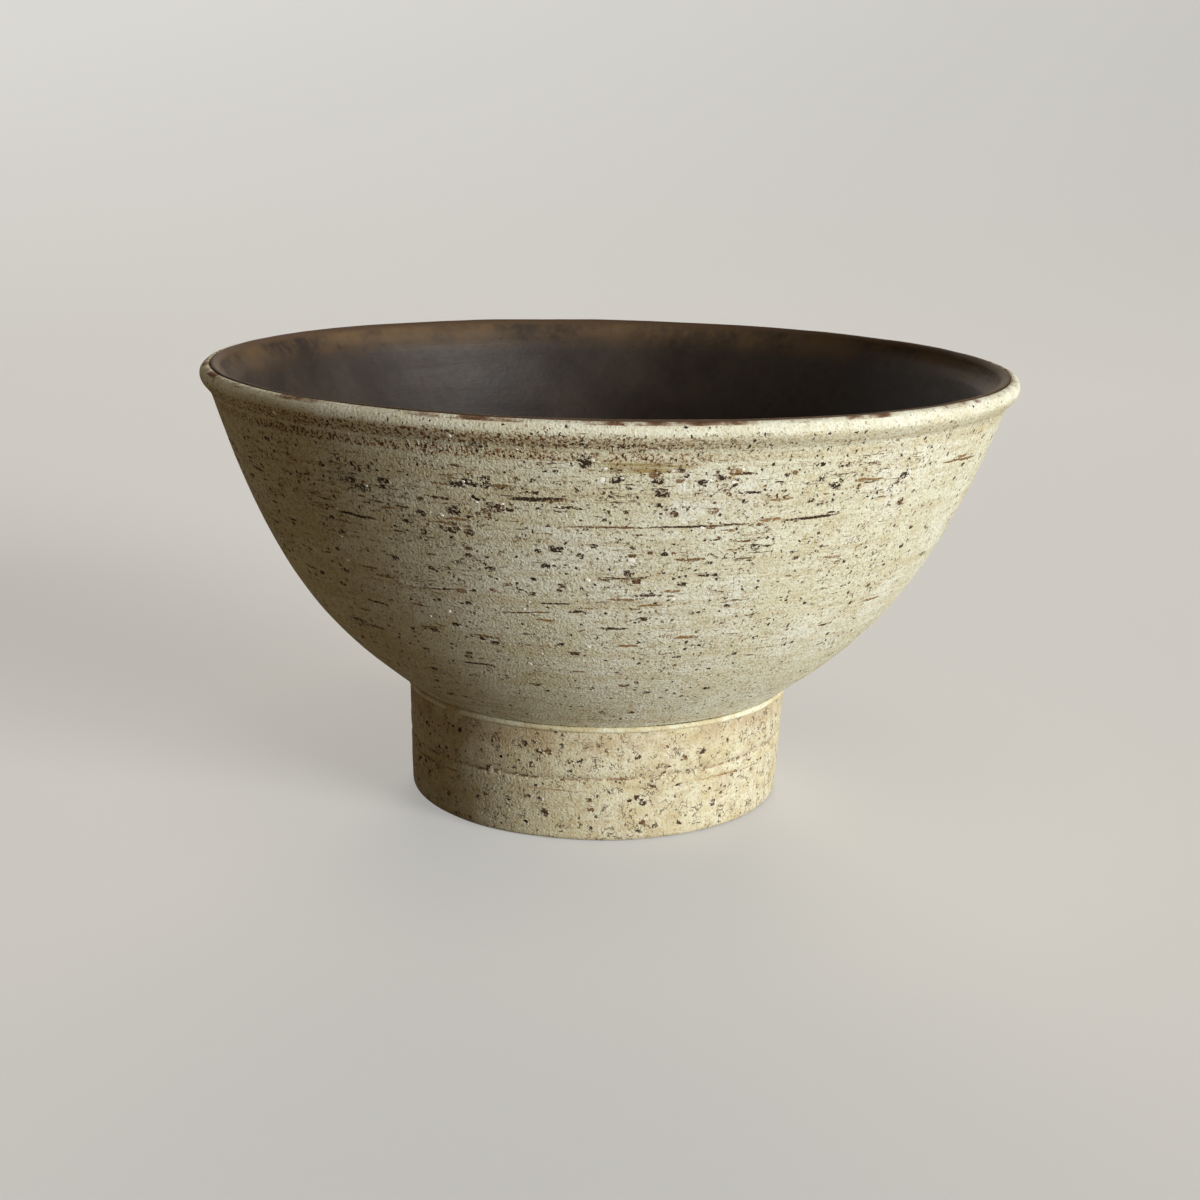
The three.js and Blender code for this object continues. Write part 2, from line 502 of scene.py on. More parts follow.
def lay_map(pen, grid, turn, share):
    """A flat map of the pot for baked colours, in two strips, one for each half of the turn."""
    face_turn = pen.geo("FieldOnDomain", turn, data_type="FLOAT", domain="FACE")
    half = pen.maths("FLOOR", pen.times(face_turn, 2))
    across = pen.minus(pen.times(turn, 2), half)
    share = pen.maths("MULTIPLY_ADD", share, 1 - 2 * MAP_TOP_EDGE, MAP_TOP_EDGE)
    across = pen.maths("MULTIPLY_ADD", across, 1 - 2 * MAP_SIDE_EDGE, MAP_SIDE_EDGE)
    flat = pen.join(across, pen.over(pen.plus(half, share), 2), 0.0)
    return pen.store(grid, "OFBake", flat, kind="FLOAT2", domain="CORNER")


def throwing_marks(pen, given):
    """Rings left by the fingers, and slow lumps, along the normal and only on the side that shows."""
    place = pen.geo("InputPosition")
    x, y, z = pen.split(place)
    out = pen.vector("NORMALIZE", pen.join(x, y, 0.0))
    out_x, out_y, _ = pen.split(out)
    ring_place = pen.join(out_x, out_y, pen.over(z, given["ring_spacing"]))
    ring = pen.minus(pen.noise(ring_place, 1.0, 1.5), 0.5)
    lump = pen.minus(pen.noise(place, LUMP_SCALE, 1.0), 0.5)
    move = pen.plus(pen.times(ring, given["ring_depth"]), pen.times(lump, given["lump_depth"]))
    move = pen.times(move, pen.attribute("shown"))
    return pen.vector("SCALE", pen.geo("InputNormal"), move)


def hand_errors(pen, given):
    """The lean of the foot, the slant of its cut line, and the rim's dips down from the true rim."""
    x, y, z = pen.split(pen.geo("InputPosition"))
    share = pen.over(z, given["height"])
    out = pen.vector("NORMALIZE", pen.join(x, y, 0.0))
    out_x, _, _ = pen.split(out)
    tilt = pen.times(pen.plus(out_x, 1.0), given["rim_tilt"])
    off_wave = pen.vector("DOT_PRODUCT", out, (*heading(WAVE_TURN), 0.0))
    wave = pen.times(off_wave, off_wave, given["rim_wave"], 2)
    drop = pen.times(pen.plus(tilt, wave), pen.maths("POWER", share, 3))
    lean = pen.times(pen.minus(share, 1.0), given["lean"])
    off_line = pen.over(pen.minus(z, given["line_height"]), SLANT_REACH)
    near_line = pen.maths("EXPONENT", pen.times(off_line, off_line, -1))
    climb = pen.times(out_x, near_line, given["line_slant"])
    return pen.join(lean, 0.0, pen.minus(climb, drop))


wheel = wheel_tree()
print("wheel tree has", len(wheel.nodes), "nodes")

# %% [markdown]
# ## From outline to section mesh
# The tree needs the outline as a mesh line. Each of its points also says whether it lies on the side that
# shows, and how far up the flat map it goes. The hidden side of a coat gets only a sliver of the map.

# %% Section meshes and turned pieces
HIDDEN_MAP = 0.04


def carry(mesh, facts):
    """Gives every point of a mesh a number under each name."""
    for name, values in facts.items():
        mesh.attributes.new(name, "FLOAT", "POINT").data.foreach_set("value", values)


def section_mesh(shown, hidden):
    """A mesh line through the side that shows and then the side that doesn't."""
    points = shown + hidden
    mesh = bpy.data.meshes.new("section")
    edges = [(i, i + 1) for i in range(len(points) - 1)]
    mesh.from_pydata([(p.x, 0.0, p.y) for p in points], edges, [])
    lengths = along(shown)
    map_top = 1 - HIDDEN_MAP if hidden else 1.0
    shares = [map_top * length / lengths[-1] for length in lengths]
    shares += [map_top + HIDDEN_MAP * (i + 1) / len(hidden) for i in range(len(hidden))]
    carry(mesh, {"map_share": shares, "shown": [1.0] * len(shown) + [0.0] * len(hidden)})
    return mesh


def turned(name, shown, hidden, finish, turn_steps, ring_depth=0.0, ring_spacing=9 * MM, lump_depth=0.0):
    """A turned piece that takes the place of the solid of the same name."""
    piece = grow(
        name + "_looks", section_mesh(shown, hidden), wheel,
        turn_steps=turn_steps, height=lip_middle.y, line_height=FOOT_LINE_HEIGHT, finish=finish,
        ring_depth=ring_depth, ring_spacing=ring_spacing, lump_depth=lump_depth, **HAND_ERRORS,
    )
    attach(piece, "root")
    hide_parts(name)
    return piece


print("sections ready")

# %% [markdown]
# ## Starting a finish
# Every finish begins in the same way: the place on the pot in millimetres, the height at which that place
# was turned, and the direction in which it faces. Patterns that were brushed on while the pot was turning
# are stretched round it.


# %% A new finish
class Finish(NodePen):
    """Writes a material's tree: patterns on the pot, and layers of colour laid through them."""

    def __init__(self, name, specular, colour):
        self.material = bpy.data.materials.new(name)
        self.material.use_nodes = True
        super().__init__(self.material.node_tree)
        self.shader = self.tree.nodes["Principled BSDF"].inputs
        self.shader["Specular IOR Level"].default_value = specular
        self.colour = colour
        self.place = self.vector("SCALE", self.put("ShaderNodeTexCoord").node.outputs["Object"], 1 / MM)
        self.level = self.painted("level")
        x, y, _ = self.split(self.place)
        self.around = self.vector("NORMALIZE", self.join(x, y, 0.0))

    def brushed(self, length, width):
        """Coordinates whose unit is this long round the pot and this wide, in millimetres."""
        x, y, _ = self.split(self.around)
        turns = rim_radius / MM / length
        return self.join(self.times(x, turns), self.times(y, turns), self.over(self.level, width))

    def ragged(self, reach, size):
        """The place, pushed about by noise, which makes the edges of a pattern ragged."""
        push = self.put("ShaderNodeTexNoise", self.place, 1 / size, 2.0, out=1)
        push = self.vector("SUBTRACT", push, (0.5, 0.5, 0.5))
        return self.vector("ADD", self.place, self.vector("SCALE", push, 2 * reach))

    def facing(self, turn, spread):
        """One where the pot faces a turn from the front, fading to nothing at a spread, in degrees."""
        ahead = (math.sin(math.radians(turn)), -math.cos(math.radians(turn)), 0.0)
        ahead = self.vector("DOT_PRODUCT", self.around, ahead)
        return self.ramp(ahead, math.cos(math.radians(spread)), 1.0)

    def band(self, low, high, soft):
        """One between two heights, with soft edges outside them."""
        return self.times(self.ramp(self.level, low - soft, low), self.ramp(self.level, high + soft, high))

    def spots(self, at, unit, share, smallest, largest, sharpness=9.0):
        """Dots in cells of a unit of millimetres: the share of cells with one, and their radii in units."""
        distance = self.put("ShaderNodeTexVoronoi", self.vector("SCALE", at, 1 / unit), 1.0)
        chance, size, _ = self.split(distance.node.outputs["Color"])
        radius = self.maths("MULTIPLY_ADD", size, largest - smallest, smallest)
        present = self.maths("LESS_THAN", chance, share)
        mask = self.times(self.minus(self.times(radius, present), distance), sharpness)
        mask.node.use_clamp = True
        return mask

    def weighted(self, start, *pairs):
        """A sum of values, each times its weight."""
        for value, weight in pairs:
            start = self.maths("MULTIPLY_ADD", value, weight, start)
        return start

    def mix(self, under, over, mask, weight=None):
        """One colour over another through a mask, which a weight can thin."""
        if weight is not None:
            mask = self.times(mask, weight)
        return self.put("ShaderNodeMix", mask, under, over, data_type="RGBA")

    def lay(self, over, mask, weight=None):
        """One more colour on those that are laid."""
        self.colour = self.mix(self.colour, over, mask, weight)

    def wash(self, over, pattern, low, high, weight=None):
        """A colour laid where a pattern rises from low to high."""
        self.lay(over, self.ramp(pattern, low, high), weight)

    def surface(self, roughness, height):
        """Feeds the shader, with the height of the relief in millimetres, and gives the material."""
        bump = self.tree.nodes.new("ShaderNodeBump")
        bump.inputs["Distance"].default_value = MM
        self.feed(bump.inputs["Height"], height)
        self.feed(self.shader["Base Color"], self.colour)
        self.feed(self.shader["Roughness"], roughness)
        self.feed(self.shader["Normal"], bump.outputs["Normal"])
        return self.material


print("finishes ready")

# %% [markdown]
# ## The cream slip
# Slip is liquid clay, brushed on while the pot turns. On the bowl it is dry and sandy, a mottled cream, with
# faint bands from the brush. Iron in the body breaks through as rust freckles and dark specks, thickest in a
# belt under the lip, and sand grains dragged by the trimming tool leave short dashes along the turn. Each of
# these is one layer of colour with its own mask, and the same masks roughen and dent the surface. The grit
# also carries painted light: its fine pits are painted darker as shade and its sand paler as highlights.

# %% Colours of the slip
CREAM = srgb(220, 217, 190)
PALE = srgb(234, 234, 219)
BUFF = srgb(197, 183, 142)
SANDY = srgb(165, 150, 111)
PIT_SHADE = srgb(122, 104, 74)
OLIVE = srgb(160, 138, 84)
OCHRE = srgb(150, 114, 70)
RUST = srgb(126, 83, 52)
UMBER = srgb(76, 48, 32)
IRON = srgb(42, 31, 23)
FRECKLE_ROWS = ((109.0, 111.4), (106.0, 107.6))
FRECKLE_TURN = -26.0
IRON_ROW = (96.0, 101.0)
CROWDED_TURN = -20.0
UPPER_WALL = (80.0, 102.0)
LIP_PALE = 112.4
SLIP_TIP = 114.2
OLIVE_STREAK = (103.6, 105.4)
OLIVE_TURN = 4.0
print("the slip shades from", [round(c, 2) for c in PALE[:3]], "to", [round(c, 2) for c in IRON[:3]])


# %% The cream slip as a finish
def slip_ground(pen, wash_weight):
    """Lays the dry cream with painted pit shade and sand highlights, and gives its relief and brush bands.
    """
    place = pen.place
    brush = pen.noise(pen.brushed(26.0, 1.1), 1.0, 3.0, 0.6)
    mottle = pen.noise(place, 0.4, 4.0, 0.7)
    cloud = pen.noise(place, 0.045, 3.0)
    patch = pen.noise(place, 0.11, 4.0, 0.65)
    streak = pen.noise(pen.brushed(70.0, 2.6), 1.0)
    grain = pen.noise(place, 1.5, 1.0)
    sand = pen.noise(place, 2.2, 0.0)
    pits = pen.noise(pen.vector("ADD", place, (40.0, 0.0, 0.0)), 1.8, 1.0)
    pen.wash(PALE, cloud, 0.42, 0.66, 0.6)
    pen.wash(BUFF, patch, 0.45, 0.7, wash_weight)
    pen.wash(SANDY, brush, 0.52, 0.72, 0.3)
    pen.wash(BUFF, streak, 0.52, 0.66, 0.45)
    pen.wash(BUFF, mottle, 0.48, 0.64, 0.6)
    pen.wash(SANDY, grain, 0.5, 0.7, 0.5)
    # painted highlight: the raised sand grains are painted paler, as if they caught the light
    pen.wash(PALE, sand, 0.54, 0.66, 0.4)
    # painted shade: the fine pits are darkened as if in shadow, besides being dented in the relief below
    pen.wash(PIT_SHADE, pits, 0.62, 0.72, 0.6)
    relief = pen.weighted(0.0, (grain, 0.12), (sand, 0.06), (brush, 0.15), (pits, -0.1))
    return relief, brush


def iron_stains(pen, length, width, crowding):
    """Lays ragged stains with an ochre edge, stretched round the pot, and gives their dark hearts."""
    field = pen.noise(pen.brushed(length, width), 1.0, 5.0, 0.78)
    field = pen.plus(field, crowding)
    heart = pen.ramp(field, 0.64, 0.675)
    pen.wash(OCHRE, field, 0.59, 0.65, 0.6)
    pen.lay(UMBER, heart, 0.8)
    pen.wash(IRON, field, 0.67, 0.7, 0.85)
    return heart


def cream_slip():
    """The slip on the bowl's outside."""
    pen = Finish("cream_slip", 0.12, CREAM)
    place = pen.place
    level = pen.level
    rough_place = pen.ragged(0.8, 0.7)
    relief, brush = slip_ground(pen, 0.45)

    belt = pen.maths("MAXIMUM", *(pen.band(*row, 0.5) for row in FRECKLE_ROWS))
    lip = pen.ramp(level, LIP_PALE - 0.5, LIP_PALE + 0.2)
    olive = pen.times(pen.band(*OLIVE_STREAK, 0.5), pen.facing(OLIVE_TURN, 9.0))
    pen.lay(PALE, lip, 0.25)
    pen.lay(BUFF, belt, 0.3)
    pen.lay(OLIVE, olive, pen.ramp(brush, 0.35, 0.6))

    crowd = pen.ramp(pen.noise(place, 0.06, 3.0, 0.6), 0.36, 0.64)
    upper = pen.band(*UPPER_WALL, 18.0)
    shady = pen.facing(CROWDED_TURN, 95.0)
    row = pen.times(pen.band(*IRON_ROW, 3.0), shady)
    crowding = pen.weighted(-0.063, (crowd, 0.05), (upper, 0.029), (shady, 0.041), (row, 0.012))
    crowding = pen.weighted(crowding, (lip, -0.08), (belt, -0.03))
    torn = iron_stains(pen, 1.9, 1.2, crowding)
    dashes = iron_stains(pen, 8.0, 0.8, pen.plus(crowding, -0.01))

    strong = pen.maths("MULTIPLY_ADD", pen.facing(FRECKLE_TURN, 55.0), 0.9, 0.1)
    strong = pen.times(strong, belt)
    curls = pen.noise(place, 1.3, 3.0, 0.7)
    pen.wash(RUST, curls, 0.5, 0.56, strong)
    pen.wash(UMBER, curls, 0.57, 0.62, strong)

    freckle_share = pen.weighted(0.1, (crowd, 0.3), (shady, 0.3), (lip, -0.2))
    freckles = pen.spots(rough_place, 1.0, freckle_share, 0.12, 0.4)
    speck_share = pen.weighted(0.02, (crowd, 0.16), (shady, 0.2), (upper, 0.1))
    speck_share = pen.weighted(speck_share, (belt, 0.05), (lip, -0.12))
    specks = pen.spots(rough_place, 1.2, speck_share, 0.1, 0.4)
    pen.lay(RUST, freckles, 0.7)
    pen.lay(UMBER, specks, 0.8)
    pen.wash(IRON, specks, 0.4, 1.0, 0.85)

    worn = pen.noise(pen.brushed(16.0, 5.0), 1.0, 4.0, 0.7)
    tip = pen.times(pen.ramp(level, SLIP_TIP - 0.3, SLIP_TIP), pen.ramp(worn, 0.46, 0.6))
    pen.lay(RUST, tip, 0.85)
    pen.lay(UMBER, tip, pen.ramp(worn, 0.52, 0.7))

    roughness = pen.weighted(0.92, (specks, -0.12), (torn, -0.1))
    height = pen.weighted(relief, (specks, -0.12), (torn, -0.14), (dashes, -0.12), (freckles, -0.04))
    return pen.surface(roughness, height)


slip_finish = cream_slip()
print("cream slip has", len(slip_finish.node_tree.nodes), "nodes")

# %% [markdown]
# ## The slip coat on the bowl
# The coat lies just over half a millimetre out from the clay and thins to a round edge on the lip, as a
# brushed coat does. That is easy in the section: the line beside the clay gets a thickness that can fade at
# either end. At the joint this one stays full, down to the bead.

# %% Coats, and the outer slip
SLIP_FADE = 2.6 * MM
SLIP_TURNS = 600


def coat(points, thickness, fade_start, fade_end):
    """The outer side of a coat over an outline, thinned to a round edge where a fade is given."""
    lengths = along(points)
    full = beside(points, 1.0)
    outer = []
    for point, moved, length in zip(points, full, lengths):
        share = 1.0
        if fade_start:
            share = min(share, length / fade_start)
        if fade_end:
            share = min(share, (lengths[-1] - length) / fade_end)
        depth = BOND + thickness * math.sqrt(1 - (1 - share) ** 2)
        outer.append(point + depth * (moved - point))
    return outer


def underneath(points, every, shown):
    """The coarser side of a coat that lies on the clay, from its end back to its first point."""
    return list(reversed(beside(points, BOND)))[::every] + [shown[0]]


slip_shown = coat(outside, SLIP, 0.0, SLIP_FADE)
outer_slip = turned(
    "outer_slip", slip_shown, underneath(outside, 6, slip_shown), slip_finish, SLIP_TURNS,
    ring_depth=0.15 * MM, ring_spacing=7 * MM, lump_depth=0.25 * MM,
)

# %% [markdown]
# ## The foot's slip
# The foot was thrown apart and luted on, and a line was cut round its middle, not quite level. Its slip is
# warmer than the bowl's, and it dried with short curly cracks.

# %% The foot's slip
BEAD_OUT = 0.5 * MM
BEAD_DROP = 1.2 * MM
BEAD_STAIN = (21.5, 27.0)
LOW_LINE = (13.7, 14.0)
FOOT_EDGE_START = -50
FOOT_FADE = 1.9 * MM
FOOT_TURNS = 540
foot_lean = (SEAM_RADIUS - FOOT_BASE_RADIUS) / joint_height
bead_middle = Vector((SEAM_RADIUS + BEAD_OUT, joint_height - BEAD_DROP))


def foot_point(height):
    """The clay of the foot's outside at a height, with the cut line as a round notch."""
    from_line = (height - FOOT_LINE_HEIGHT) / (FOOT_LINE_WIDTH / 2)
    notch = FOOT_LINE_DEPTH * math.exp(-from_line * from_line)
    return Vector((FOOT_BASE_RADIUS + foot_lean * height - notch, height))


FOOT_ROWS = 56
foot_rise = bead_middle.y - FOOT_EDGE
foot_side = [foot_point(FOOT_EDGE + foot_rise * i / FOOT_ROWS) for i in range(FOOT_ROWS + 1)]
edge_middle = foot_side[0] - Vector((FOOT_EDGE, 0))
foot_edge = arc(edge_middle, FOOT_EDGE, FOOT_EDGE_START, 0, EDGE_STEPS)
foot_path = foot_edge[:-1] + foot_side
foot_shown = coat(foot_path, SLIP, FOOT_FADE, 0.0)


def foot_slip_finish():
    """The slip on the foot: warmer, stained under the bead, with short curly cracks."""
    pen = Finish("foot_slip", 0.2, CREAM)
    place = pen.place
    level = pen.level
    rough_place = pen.ragged(0.6, 1.0)
    relief, brush = slip_ground(pen, 1.0)

    cloud = pen.noise(place, 0.09, 4.0, 0.65)
    mottle = pen.noise(place, 0.28, 3.0, 0.65)
    under_bead = pen.times(pen.ramp(level, *BEAD_STAIN), pen.ramp(cloud, 0.35, 0.6))
    line_middle = FOOT_LINE_HEIGHT / MM
    in_line = pen.band(line_middle - 0.2, line_middle, 0.4)
    low_line = pen.band(*LOW_LINE, 0.4)
    pen.lay(BUFF, 0.4)
    pen.wash(OCHRE, mottle, 0.44, 0.72, 0.3)
    pen.lay(OCHRE, under_bead, 0.4)
    pen.lay(OCHRE, low_line, pen.ramp(brush, 0.48, 0.62))
    torn = iron_stains(pen, 1.7, 1.7, -0.012)

    curl = pen.noise(place, 0.5, 2.0, 0.6)
    curl = pen.ramp(pen.maths("ABSOLUTE", pen.minus(curl, 0.5)), 0.03, 0.008)
    crack = pen.times(curl, pen.ramp(pen.noise(place, 0.32), 0.5, 0.58))
    freckles = pen.spots(rough_place, 1.0, 0.6, 0.14, 0.42)
    specks = pen.spots(rough_place, 1.5, 0.16, 0.1, 0.34)
    pen.lay(RUST, freckles, 0.5)
    pen.lay(UMBER, crack, 0.75)
    broken = pen.ramp(pen.noise(place, 0.6, 3.0, 0.7), 0.42, 0.58)
    line_colour = pen.times(in_line, broken, pen.ramp(brush, 0.3, 0.5))
    pen.lay(RUST, line_colour, 0.8)
    pen.lay(UMBER, line_colour, pen.ramp(brush, 0.5, 0.65))
    pen.lay(IRON, specks, 0.85)

    roughness = pen.weighted(0.92, (specks, -0.2))
    height = pen.weighted(relief, (crack, -0.15), (specks, -0.1), (torn, -0.12))
    return pen.surface(roughness, height)


foot_slip = turned(
    "foot_slip", foot_shown, underneath(foot_path, 5, foot_shown), foot_slip_finish(), FOOT_TURNS,
    ring_depth=0.35 * MM, ring_spacing=6 * MM, lump_depth=0.3 * MM,
)

# %% [markdown]
# ## The bead at the joint
# When bowl and foot were pressed together, a thin roll of slip came out of the joint and was left standing.
# It is a half round turned against the foot, and slow lumps make it waver.

# %% The bead at the joint
BEAD_STEPS = 12


def bead_finish():
    pen = Finish("bead_slip", 0.25, CREAM)
    stain = pen.noise(pen.place, 0.12, 3.0)
    grain = pen.noise(pen.place, 1.8)
    pen.wash(BUFF, stain, 0.42, 0.6, 0.8)
    pen.wash(SANDY, grain, 0.5, 0.7, 0.6)
    freckles = pen.spots(pen.ragged(0.3, 0.9), 1.3, 0.2, 0.12, 0.3)
    pen.lay(UMBER, freckles, 0.7)
    return pen.surface(pen.weighted(0.7, (grain, 0.2)), pen.weighted(0.0, (grain, 0.15)))


bead_round = arc(bead_middle, BEAD, -90, 90, BEAD_STEPS)
half_bead = Vector((0, BEAD / 2))
bead_back = [bead_middle + half_bead, bead_middle - half_bead, bead_round[0]]
seam_bead = turned("seam_bead", bead_round, bead_back, bead_finish(), FOOT_TURNS, lump_depth=0.4 * MM)

# %% [markdown]
# ## The dark glaze
# The lining is a thin iron glaze, almost black in the shade. Where it thins under the rim it breaks to
# caramel. Its gloss is low and uneven, so the roughness carries most of its look. The fingers' rings are
# deeper inside than outside.

# %% The glaze lining
GLAZE_DARK = srgb(39, 30, 24)
GLAZE_GREY = srgb(60, 50, 42)
GLAZE_BROWN = srgb(51, 38, 29)
GLAZE_TIP = srgb(80, 60, 42)
CARAMEL = srgb(106, 82, 52)
THIN_GLAZE = (105.0, 114.0)
DULL_GLAZE = (110.0, 113.5)
GLAZE_EDGE = (113.0, 114.4)
GLAZE_FADE = 0.7 * MM
GLAZE_TURNS = 480


def dark_glaze():
    pen = Finish("dark_glaze", 0.32, GLAZE_DARK)
    place = pen.place
    level = pen.level
    cloud = pen.noise(place, 0.035, 4.0, 0.6)
    mottle = pen.noise(place, 0.35, 3.0, 0.6)
    brush = pen.noise(pen.brushed(40.0, 2.4), 1.0, 3.0, 0.6)
    grain = pen.noise(place, 1.3)
    thin = pen.ramp(pen.weighted(cloud, (mottle, 0.4)), 0.45, 0.9)
    thin = pen.times(pen.ramp(level, *THIN_GLAZE), thin)
    pen.wash(GLAZE_GREY, cloud, 0.35, 0.7)
    pen.wash(GLAZE_BROWN, mottle, 0.45, 0.7, 0.6)
    pen.lay(CARAMEL, thin, 0.8)
    pen.wash(GLAZE_TIP, level, *GLAZE_EDGE)
    flecks = pen.spots(pen.ragged(0.4, 1.0), 2.4, 0.25, 0.08, 0.22, sharpness=8.0)
    pen.lay(IRON, flecks, 0.8)
    roughness = pen.weighted(0.42, (mottle, 0.16), (cloud, 0.1), (pen.ramp(level, *DULL_GLAZE), 0.3))
    height = pen.weighted(0.0, (mottle, 0.12), (grain, 0.05), (brush, 0.12))
    return pen.surface(roughness, height)


glaze_shown = coat(inside, GLAZE, GLAZE_FADE, 0.0)
glaze_hidden = underneath(inside, 8, glaze_shown)
for on_axis in (glaze_shown[-1], glaze_hidden[0]):
    on_axis.x = 0.0
inner_glaze = turned(
    "inner_glaze", glaze_shown, glaze_hidden, dark_glaze(), GLAZE_TURNS,
    ring_depth=0.8 * MM, ring_spacing=11 * MM, lump_depth=0.5 * MM,
)

# %% [markdown]
# ## The bare clay
# The body shows only where no coat reaches: a thin line on the lip, and the underside of the foot with the
# hollow inside it. It is a reddish, sandy clay, and the trimming tool has left close rings in it.

# %% The clay bowl and the foot ring
CLAY_RED = srgb(120, 76, 48)
CLAY_PALE = srgb(152, 104, 68)
CLAY_DARK = srgb(92, 56, 36)
CLAY_RING = srgb(170, 126, 88)
CLAY_SAND = srgb(206, 190, 160)
CLAY_TURNS = 240
RING_TURNS = 320
UNDERSIDE_STEPS = 14
WELL_ROWS = 20


def bare_clay():
    pen = Finish("bare_clay", 0.2, CLAY_RED)
    place = pen.place
    cloud = pen.noise(place, 0.06, 4.0, 0.6)
    grain = pen.noise(place, 1.4, 3.0, 0.6)
    x, y, _ = pen.split(place)
    radius = pen.maths("SQRT", pen.plus(pen.times(x, x), pen.times(y, y)))
    turning = pen.noise(pen.join(radius, 0.0, pen.level), 0.9)
    pen.wash(CLAY_PALE, cloud, 0.38, 0.66)
    pen.wash(CLAY_DARK, grain, 0.5, 0.75, 0.6)
    pen.wash(CLAY_RING, turning, 0.55, 0.75, 0.4)
    sand = pen.spots(pen.ragged(0.3, 0.9), 1.6, 0.3, 0.1, 0.26)
    pen.lay(CLAY_SAND, sand, 0.6)
    height = pen.weighted(0.0, (grain, 0.2), (turning, 0.25), (sand, 0.08))
    return pen.surface(pen.weighted(0.82, (grain, 0.12)), height)


clay_finish = bare_clay()
underside = [Vector((SEAM_RADIUS * i / UNDERSIDE_STEPS, joint_height)) for i in range(UNDERSIDE_STEPS)]
clay_path = underside + outside[::3] + [outside[-1]] + inside[::3] + [axis_floor]
clay_bowl = turned("clay_bowl", clay_path, [], clay_finish, CLAY_TURNS)

well_radius = FOOT_BASE_RADIUS - FOOT_WALL
foot_top = joint_height - BOND
room = Vector((0, LUMP_ROOM))
well_middle = Vector((well_radius + FOOT_EDGE, FOOT_EDGE))
well_edge = arc(well_middle + room, FOOT_EDGE, -180, -90, EDGE_STEPS)
outer_edge = arc(edge_middle + room, FOOT_EDGE, -90, 0, EDGE_STEPS)
top_outer = Vector((FOOT_BASE_RADIUS + foot_lean * foot_top, foot_top))
top_inner = top_outer - Vector((FOOT_WALL, 0))
well_side = [top_inner.lerp(well_edge[0], i / WELL_ROWS) for i in range(WELL_ROWS + 1)]
ring_path = well_edge + outer_edge[:-1] + foot_side[::2] + [top_outer] + well_side
foot_ring = turned("foot_ring", ring_path, [], clay_finish, RING_TURNS, lump_depth=0.15 * MM)

# %% [markdown]
# ## Marks in the slip
# The largest marks are real shapes: iron blotches, torn drag lines, a double row of ticks that a chattering
# tool left under the lip, and pale grains of grog. Each is a small strip laid on the surface. A point holds
# where a mark lies, its size and its tone. The tree puts a strip on every point, and then finds each of its
# corners a place by casting a ray at the bowl from outside, so that a mark follows the wall and its edges
# sink into it. The strip of an iron mark is wider than the mark, and its finish tears the edge.


# %% A tree that lays marks on the surface
STRIP_COLUMNS = 13
STRIP_ROWS = 3
STRAY = 0.7 * MM
RAY_START = 0.25
RAY_LENGTH = 0.3


def marks_tree():
    pen, given = new_tree(
        "marks_on_the_slip",
        marks="geometry", bowl="object", foot="object", lift="size", sink="size", finish="material",
    )

    def dome(value, power):
        """One in the middle of a strip and nothing at its ends."""
        return pen.minus(1.0, pen.maths("POWER", pen.times(value, 2.0), power))

    strip = pen.geo("MeshGrid", 1.0, 1.0, STRIP_COLUMNS, STRIP_ROWS)
    strip_x, strip_y, _ = pen.split(pen.geo("InputPosition"))
    strip = pen.store(pen.store(strip, "strip_along", strip_x), "strip_across", strip_y)
    off_middle = pen.times(pen.maths("ABSOLUTE", strip_y), 2.0)
    within = pen.times(pen.minus(1.0, off_middle), dome(strip_x, 4.0))
    strip = pen.store(strip, "within", within)
    strips = pen.geo("InstanceOnPoints", given["marks"], None, strip)
    strips = pen.geo("RealizeInstances", strips)

    s = pen.attribute("strip_along")
    t = pen.attribute("strip_across")
    facts = ("level", "length", "width", "radius")
    level, length, width, radius = (pen.attribute("mark_" + fact) for fact in facts)
    turn = pen.plus(pen.attribute("mark_turn"), pen.over(pen.times(s, length), radius))
    arc_mm = pen.over(pen.times(turn, radius), MM)
    level_mm = pen.over(level, MM)
    stray = pen.minus(pen.noise(pen.join(arc_mm, 7.0, level_mm), 0.35, 1.0), 0.5)
    round_off = pen.maths("SQRT", dome(s, 2.0))
    across = pen.times(t, width, round_off)
    rise = pen.maths("MULTIPLY_ADD", pen.attribute("mark_slant"), s, level)
    height = pen.plus(pen.plus(rise, across), pen.times(stray, STRAY))

    sine = pen.maths("SINE", turn)
    cosine = pen.maths("COSINE", turn)
    outside_place = pen.join(pen.times(sine, RAY_START), pen.times(cosine, -RAY_START), height)
    inward = pen.join(pen.times(sine, -1.0), cosine, 0.0)
    both = pen.geo("JoinGeometry")
    for name in ("bowl", "foot"):
        surface = pen.geo("ObjectInfo", given[name]).node.outputs["Geometry"]
        pen.tree.links.new(surface, both.node.inputs[0])
    ray = pen.geo("Raycast", both, pen.attribute("level")).node
    pen.feed(ray.inputs["Source Position"], outside_place)
    pen.feed(ray.inputs["Ray Direction"], inward)
    pen.feed(ray.inputs["Ray Length"], RAY_LENGTH)
    lift = pen.minus(pen.times(dome(t, 2.0), given["lift"]), given["sink"])
    raised = pen.vector("SCALE", ray.outputs["Hit Normal"], lift)
    raised = pen.vector("ADD", ray.outputs["Hit Position"], raised)
    laid = pen.store(strips, "level", ray.outputs["Attribute"])
    laid = pen.geo("SetPosition", laid, None, raised)
    laid = pen.geo("SetShadeSmooth", laid, None, True)
    return end_tree(pen, laid, given["finish"])


laying = marks_tree()
print("marks tree has", len(laying.nodes), "nodes")
